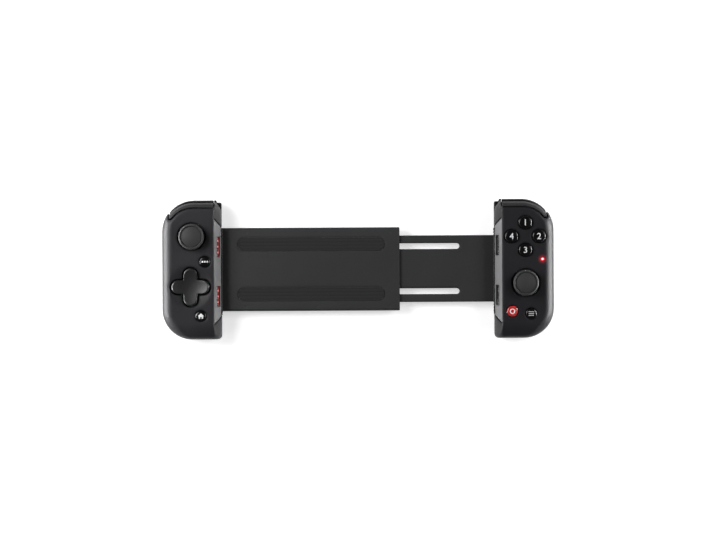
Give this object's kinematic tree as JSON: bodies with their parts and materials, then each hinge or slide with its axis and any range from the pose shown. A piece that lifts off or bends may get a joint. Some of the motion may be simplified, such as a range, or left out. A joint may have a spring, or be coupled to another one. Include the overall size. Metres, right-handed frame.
{
  "type": "mobile game controller",
  "caption": "Telescopic game controller: grips with sticks, direction pad, buttons, bumpers and triggers on a sliding bridge that clamps a handset between them.",
  "frame": {"origin": "middle of the whole object in plan, on the plane of the grips' flat backs", "axes": "+X along the bridge to the right grip, +Y up the grips to the shoulder buttons, +Z from the flat backs to the controls"},
  "size_m": [0.234, 0.0834, 0.03],
  "materials": {
    "face_plastic": "fine moulded grain, satin",
    "rear_plastic": "moulded grain, matt",
    "clamp_plastic": "satin grey",
    "bridge_plastic": "moulded grain, matt",
    "pad_rubber": "matt rubber",
    "red_light": "clear lens, lit red",
    "dark_lens": "smoked lens",
    "board": "solder mask",
    "battery_foil": "foil pouch",
    "silicone": "moulded silicone",
    "steel": "bright",
    "bearing_plastic": "acetal",
    "stick_rubber": "soft-touch rubber",
    "dpad_plastic": "satin",
    "button_gloss": "polished",
    "red_gloss": "polished red",
    "bumper_plastic": "satin",
    "trigger_gloss": "satin black",
    "cable_jacket": "soft jacket"
  },
  "bodies": {
    "left_grip": {"left_front_shell": "face_plastic", "left_rear_shell": "rear_plastic", "left_clamp_block": "clamp_plastic", "left_clamp_pad": "pad_rubber", "left_light_bar": "red_light", "left_circuit_board": "board", "battery": "battery_foil", "left_button_membrane": "silicone", "left_stick_module": "steel", "dpad_post": "bearing_plastic", "left_trigger_pin": "steel", "left_trigger_spring": "steel", "left_grip_screws": "steel", "bridge_tray": "rear_plastic", "bridge_cover": "bridge_plastic", "bridge_pads": "pad_rubber", "bridge_screws": "steel", "spring_strips": "steel", "link_cable": "cable_jacket"},
    "upper_spring_roll": {"upper_spring_roll": "steel"},
    "lower_spring_roll": {"lower_spring_roll": "steel"},
    "left_stick_yoke": {"left_stick_yoke": "bearing_plastic"},
    "left_stick_pivot": {"left_stick_pivot": "bearing_plastic"},
    "left_stick": {"left_stick_stem": "bearing_plastic", "left_stick_cap": "stick_rubber"},
    "dpad_spider": {"dpad_spider": "bearing_plastic"},
    "dpad": {"dpad": "dpad_plastic"},
    "select_button": {"select_button": "button_gloss"},
    "home_button": {"home_button": "button_gloss"},
    "left_bumper": {"left_bumper": "bumper_plastic"},
    "left_trigger": {"left_trigger": "trigger_gloss"},
    "right_grip": {"right_front_shell": "face_plastic", "right_rear_shell": "rear_plastic", "right_clamp_block": "clamp_plastic", "right_clamp_pad": "pad_rubber", "right_light_bar": "dark_lens", "right_circuit_board": "board", "right_button_membrane": "silicone", "right_stick_module": "steel", "right_trigger_pin": "steel", "right_trigger_spring": "steel", "right_grip_screws": "steel", "status_light": "red_light", "charging_port": "steel", "bridge_tongue": "bridge_plastic"},
    "right_stick_yoke": {"right_stick_yoke": "bearing_plastic"},
    "right_stick_pivot": {"right_stick_pivot": "bearing_plastic"},
    "right_stick": {"right_stick_stem": "bearing_plastic", "right_stick_cap": "stick_rubber"},
    "button_1": {"button_1": "button_gloss"},
    "button_2": {"button_2": "button_gloss"},
    "button_3": {"button_3": "button_gloss"},
    "button_4": {"button_4": "button_gloss"},
    "turbo_button": {"turbo_button": "red_gloss"},
    "menu_button": {"menu_button": "button_gloss"},
    "right_bumper": {"right_bumper": "bumper_plastic"},
    "right_trigger": {"right_trigger": "trigger_gloss"}
  },
  "joints": [
    {"name": "bridge_slide", "type": "slide", "parent": "left_grip", "child": "right_grip", "axis": [1, 0, 0], "range_m": [-0.051, 0.012], "deforming": ["spring_strips", "link_cable"]},
    {"name": "upper_spring_roll_spin", "type": "hinge", "parent": "left_grip", "child": "upper_spring_roll", "pos_m": [-0.074, 0.014, 0.0069], "axis": [0, 0, 1], "range_deg": [-151.9, 632.4]},
    {"name": "lower_spring_roll_spin", "type": "hinge", "parent": "left_grip", "child": "lower_spring_roll", "pos_m": [-0.074, -0.014, 0.0069], "axis": [0, 0, 1], "range_deg": [-632.4, 151.9]},
    {"name": "left_stick_tilt_x", "type": "hinge", "parent": "left_grip", "child": "left_stick_yoke", "pos_m": [-0.0993, 0.0197, 0.0144], "axis": [1, 0, 0], "range_deg": [-15, 15], "stiffness_Nm_per_rad": 0.03},
    {"name": "left_stick_tilt_y", "type": "hinge", "parent": "left_stick_yoke", "child": "left_stick_pivot", "pos_m": [-0.0993, 0.0197, 0.0144], "axis": [0, 1, 0], "range_deg": [-15, 15], "stiffness_Nm_per_rad": 0.03},
    {"name": "left_stick_click", "type": "slide", "parent": "left_stick_pivot", "child": "left_stick", "axis": [0, 0, 1], "range_m": [-0.0004, 0], "stiffness_N_per_m": 4000},
    {"name": "right_stick_tilt_x", "type": "hinge", "parent": "right_grip", "child": "right_stick_yoke", "pos_m": [0.1001, -0.0087, 0.0144], "axis": [1, 0, 0], "range_deg": [-15, 15], "stiffness_Nm_per_rad": 0.03},
    {"name": "right_stick_tilt_y", "type": "hinge", "parent": "right_stick_yoke", "child": "right_stick_pivot", "pos_m": [0.1001, -0.0087, 0.0144], "axis": [0, 1, 0], "range_deg": [-15, 15], "stiffness_Nm_per_rad": 0.03},
    {"name": "right_stick_click", "type": "slide", "parent": "right_stick_pivot", "child": "right_stick", "axis": [0, 0, 1], "range_m": [-0.0004, 0], "stiffness_N_per_m": 4000},
    {"name": "dpad_rock_x", "type": "hinge", "parent": "left_grip", "child": "dpad_spider", "pos_m": [-0.1, -0.0103, 0.0172], "axis": [1, 0, 0], "range_deg": [-5, 5], "stiffness_Nm_per_rad": 0.08},
    {"name": "dpad_rock_y", "type": "hinge", "parent": "dpad_spider", "child": "dpad", "pos_m": [-0.1, -0.0103, 0.0172], "axis": [0, 1, 0], "range_deg": [-5, 5], "stiffness_Nm_per_rad": 0.08},
    {"name": "select_button_press", "type": "slide", "parent": "left_grip", "child": "select_button", "axis": [0, 0, 1], "range_m": [-0.001, 0], "stiffness_N_per_m": 600},
    {"name": "home_button_press", "type": "slide", "parent": "left_grip", "child": "home_button", "axis": [0, 0, 1], "range_m": [-0.001, 0], "stiffness_N_per_m": 600},
    {"name": "button_1_press", "type": "slide", "parent": "right_grip", "child": "button_1", "axis": [0, 0, 1], "range_m": [-0.001, 0], "stiffness_N_per_m": 600},
    {"name": "button_2_press", "type": "slide", "parent": "right_grip", "child": "button_2", "axis": [0, 0, 1], "range_m": [-0.001, 0], "stiffness_N_per_m": 600},
    {"name": "button_3_press", "type": "slide", "parent": "right_grip", "child": "button_3", "axis": [0, 0, 1], "range_m": [-0.001, 0], "stiffness_N_per_m": 600},
    {"name": "button_4_press", "type": "slide", "parent": "right_grip", "child": "button_4", "axis": [0, 0, 1], "range_m": [-0.001, 0], "stiffness_N_per_m": 600},
    {"name": "turbo_button_press", "type": "slide", "parent": "right_grip", "child": "turbo_button", "axis": [0, 0, 1], "range_m": [-0.001, 0], "stiffness_N_per_m": 600},
    {"name": "menu_button_press", "type": "slide", "parent": "right_grip", "child": "menu_button", "axis": [0, 0, 1], "range_m": [-0.001, 0], "stiffness_N_per_m": 600},
    {"name": "left_bumper_press", "type": "hinge", "parent": "left_grip", "child": "left_bumper", "pos_m": [-0.0886, 0.03845, 0.016], "axis": [0, 0, 1], "range_deg": [0, 1.4], "stiffness_Nm_per_rad": 0.6},
    {"name": "left_trigger_pull", "type": "hinge", "parent": "left_grip", "child": "left_trigger", "pos_m": [-0.0883, 0.0378, 0.0078], "axis": [1, 0, 0], "range_deg": [-13, 0], "stiffness_Nm_per_rad": 0.05},
    {"name": "right_bumper_press", "type": "hinge", "parent": "right_grip", "child": "right_bumper", "pos_m": [0.0886, 0.03845, 0.016], "axis": [0, 0, 1], "range_deg": [-1.4, 0], "stiffness_Nm_per_rad": 0.6},
    {"name": "right_trigger_pull", "type": "hinge", "parent": "right_grip", "child": "right_trigger", "pos_m": [0.0883, 0.0378, 0.0078], "axis": [1, 0, 0], "range_deg": [-13, 0], "stiffness_Nm_per_rad": 0.05}
  ],
  "couplings": [
    {"joint": "upper_spring_roll_spin", "follows": "bridge_slide", "rad_per_m": -215.05},
    {"joint": "lower_spring_roll_spin", "follows": "bridge_slide", "rad_per_m": 215.05}
  ]
}
